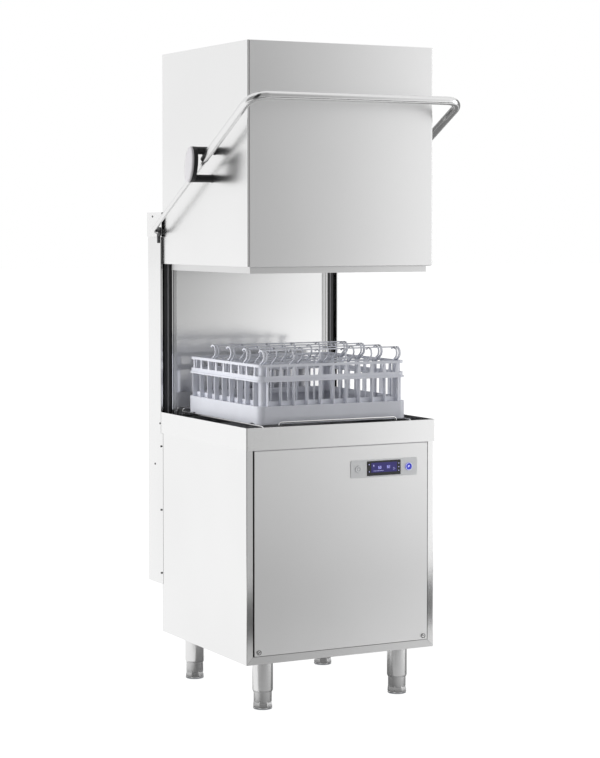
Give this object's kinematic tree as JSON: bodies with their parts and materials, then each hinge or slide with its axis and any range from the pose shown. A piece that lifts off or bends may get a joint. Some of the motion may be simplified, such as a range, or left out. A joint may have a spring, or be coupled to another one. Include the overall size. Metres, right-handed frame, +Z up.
{
  "type": "commercial dishwasher",
  "caption": "Pass-through hood dishwasher: steel cabinet on legs, raised double-wall hood with a bail handle, rack on a wire guide, wash arms and pump inside.",
  "frame": {"origin": "on the floor, under the middle of the whole machine's box with the hood raised", "axes": "+X to the right across the front, +Y to the rear, +Z up"},
  "size_m": [0.785, 0.8284, 1.954],
  "materials": {
    "sheet_steel": "brushed",
    "inner_steel": "satin",
    "wire_steel": "polished",
    "tube_steel": "satin",
    "black_plastic": "matte",
    "grey_plastic": "matte",
    "light_plastic": "satin",
    "rack_plastic": "matte",
    "display_black": "gloss",
    "button_blue": "gloss",
    "brass_fitting": "turned"
  },
  "bodies": {
    "cabinet": {"base_frame": "inner_steel", "side_panel_left": "sheet_steel", "side_panel_right": "sheet_steel", "rear_panel": "inner_steel", "front_panel": "sheet_steel", "rim": "sheet_steel", "tank_deck": "inner_steel", "wash_tank": "inner_steel", "tank_filters": "inner_steel", "heating_elements": "inner_steel", "arm_hubs": "inner_steel", "riser_pipes": "inner_steel", "rinse_pipes": "inner_steel", "wash_pump": "grey_plastic", "rinse_boiler": "inner_steel", "drain_pump": "grey_plastic", "dosing_pumps": "grey_plastic", "control_box": "grey_plastic", "water_inlet": "brass_fitting", "drain_outlet": "grey_plastic", "cable_gland": "black_plastic", "column_sides": "sheet_steel", "rear_cover": "sheet_steel", "column_cap": "sheet_steel", "splash_back": "sheet_steel", "guide_rails": "black_plastic", "gas_struts": "black_plastic", "pivot_bushes": "black_plastic", "legs": "inner_steel", "rack_guide": "wire_steel", "control_bezel": "tube_steel", "display": "display_black", "cover_screws": "tube_steel"},
    "hood": {"hood_front": "sheet_steel", "hood_left": "sheet_steel", "hood_right": "sheet_steel", "hood_top": "sheet_steel", "hood_liner": "inner_steel", "hood_carriages": "inner_steel", "hood_sliders": "black_plastic", "strut_rods": "wire_steel", "handle_guides": "black_plastic", "guide_caps": "light_plastic", "badge_plate": "tube_steel"},
    "handle": {"handle_bar": "tube_steel"},
    "upper_wash_arm": {"upper_wash_arm": "grey_plastic"},
    "upper_rinse_arm": {"upper_rinse_arm": "inner_steel"},
    "lower_wash_arm": {"lower_wash_arm": "grey_plastic"},
    "lower_rinse_arm": {"lower_rinse_arm": "inner_steel"},
    "pump_rotor": {"pump_rotor": "inner_steel"},
    "power_button": {"power_button": "tube_steel"},
    "start_button": {"start_button": "button_blue"},
    "panel_lock_left": {"panel_lock_left": "tube_steel"},
    "panel_lock_right": {"panel_lock_right": "tube_steel"},
    "foot_front_left": {"foot_front_left": "tube_steel"},
    "foot_front_right": {"foot_front_right": "tube_steel"},
    "foot_rear_left": {"foot_rear_left": "tube_steel"},
    "foot_rear_right": {"foot_rear_right": "tube_steel"},
    "rack": {"rack": "rack_plastic", "rack_inserts": "rack_plastic"}
  },
  "joints": [
    {"name": "hood_slide", "type": "slide", "parent": "cabinet", "child": "hood", "axis": [0, 0, -1], "range_m": [0, 0.475], "stiffness_N_per_m": 60, "springref_m": -5.7},
    {"name": "handle_swing", "type": "hinge", "parent": "cabinet", "child": "handle", "pos_m": [0, 0.31521, 1.402], "axis": [1, 0, 0], "range_deg": [0, 64.6]},
    {"name": "upper_wash_arm_spin", "type": "hinge", "parent": "cabinet", "child": "upper_wash_arm", "pos_m": [0, 0.00321, 1.307], "axis": [0, 0, 1], "continuous": true},
    {"name": "upper_rinse_arm_spin", "type": "hinge", "parent": "cabinet", "child": "upper_rinse_arm", "pos_m": [0, 0.00321, 1.287], "axis": [0, 0, 1], "continuous": true},
    {"name": "lower_wash_arm_spin", "type": "hinge", "parent": "cabinet", "child": "lower_wash_arm", "pos_m": [0, 0.00321, 0.747], "axis": [0, 0, 1], "continuous": true},
    {"name": "lower_rinse_arm_spin", "type": "hinge", "parent": "cabinet", "child": "lower_rinse_arm", "pos_m": [0, 0.00321, 0.777], "axis": [0, 0, 1], "continuous": true},
    {"name": "pump_rotor_spin", "type": "hinge", "parent": "cabinet", "child": "pump_rotor", "pos_m": [0, -0.09679, 0.26], "axis": [1, 0, 0], "continuous": true},
    {"name": "power_button_press", "type": "slide", "parent": "cabinet", "child": "power_button", "axis": [0, 1, 0], "range_m": [0, 0.0015], "stiffness_N_per_m": 900},
    {"name": "start_button_press", "type": "slide", "parent": "cabinet", "child": "start_button", "axis": [0, 1, 0], "range_m": [0, 0.0015], "stiffness_N_per_m": 900},
    {"name": "panel_lock_left_turn", "type": "hinge", "parent": "cabinet", "child": "panel_lock_left", "pos_m": [-0.2766, -0.30079, 0.182], "axis": [0, 1, 0], "range_deg": [0, 90]},
    {"name": "panel_lock_right_turn", "type": "hinge", "parent": "cabinet", "child": "panel_lock_right", "pos_m": [0.2766, -0.30079, 0.182], "axis": [0, 1, 0], "range_deg": [0, 90]},
    {"name": "foot_front_left_turn", "type": "hinge", "parent": "cabinet", "child": "foot_front_left", "pos_m": [-0.228, -0.22679, 0.06], "axis": [0, 0, 1], "continuous": true},
    {"name": "foot_front_right_turn", "type": "hinge", "parent": "cabinet", "child": "foot_front_right", "pos_m": [0.228, -0.22679, 0.06], "axis": [0, 0, 1], "continuous": true},
    {"name": "foot_rear_left_turn", "type": "hinge", "parent": "cabinet", "child": "foot_rear_left", "pos_m": [-0.228, 0.25221, 0.06], "axis": [0, 0, 1], "continuous": true},
    {"name": "foot_rear_right_turn", "type": "hinge", "parent": "cabinet", "child": "foot_rear_right", "pos_m": [0.228, 0.25221, 0.06], "axis": [0, 0, 1], "continuous": true},
    {"name": "rack_slide", "type": "slide", "parent": "cabinet", "child": "rack", "axis": [1, 0, 0], "range_m": [-0.6, 0]}
  ],
  "couplings": [
    {"joint": "handle_swing", "follows": "hood_slide", "rad_per_m": 2.37}
  ]
}
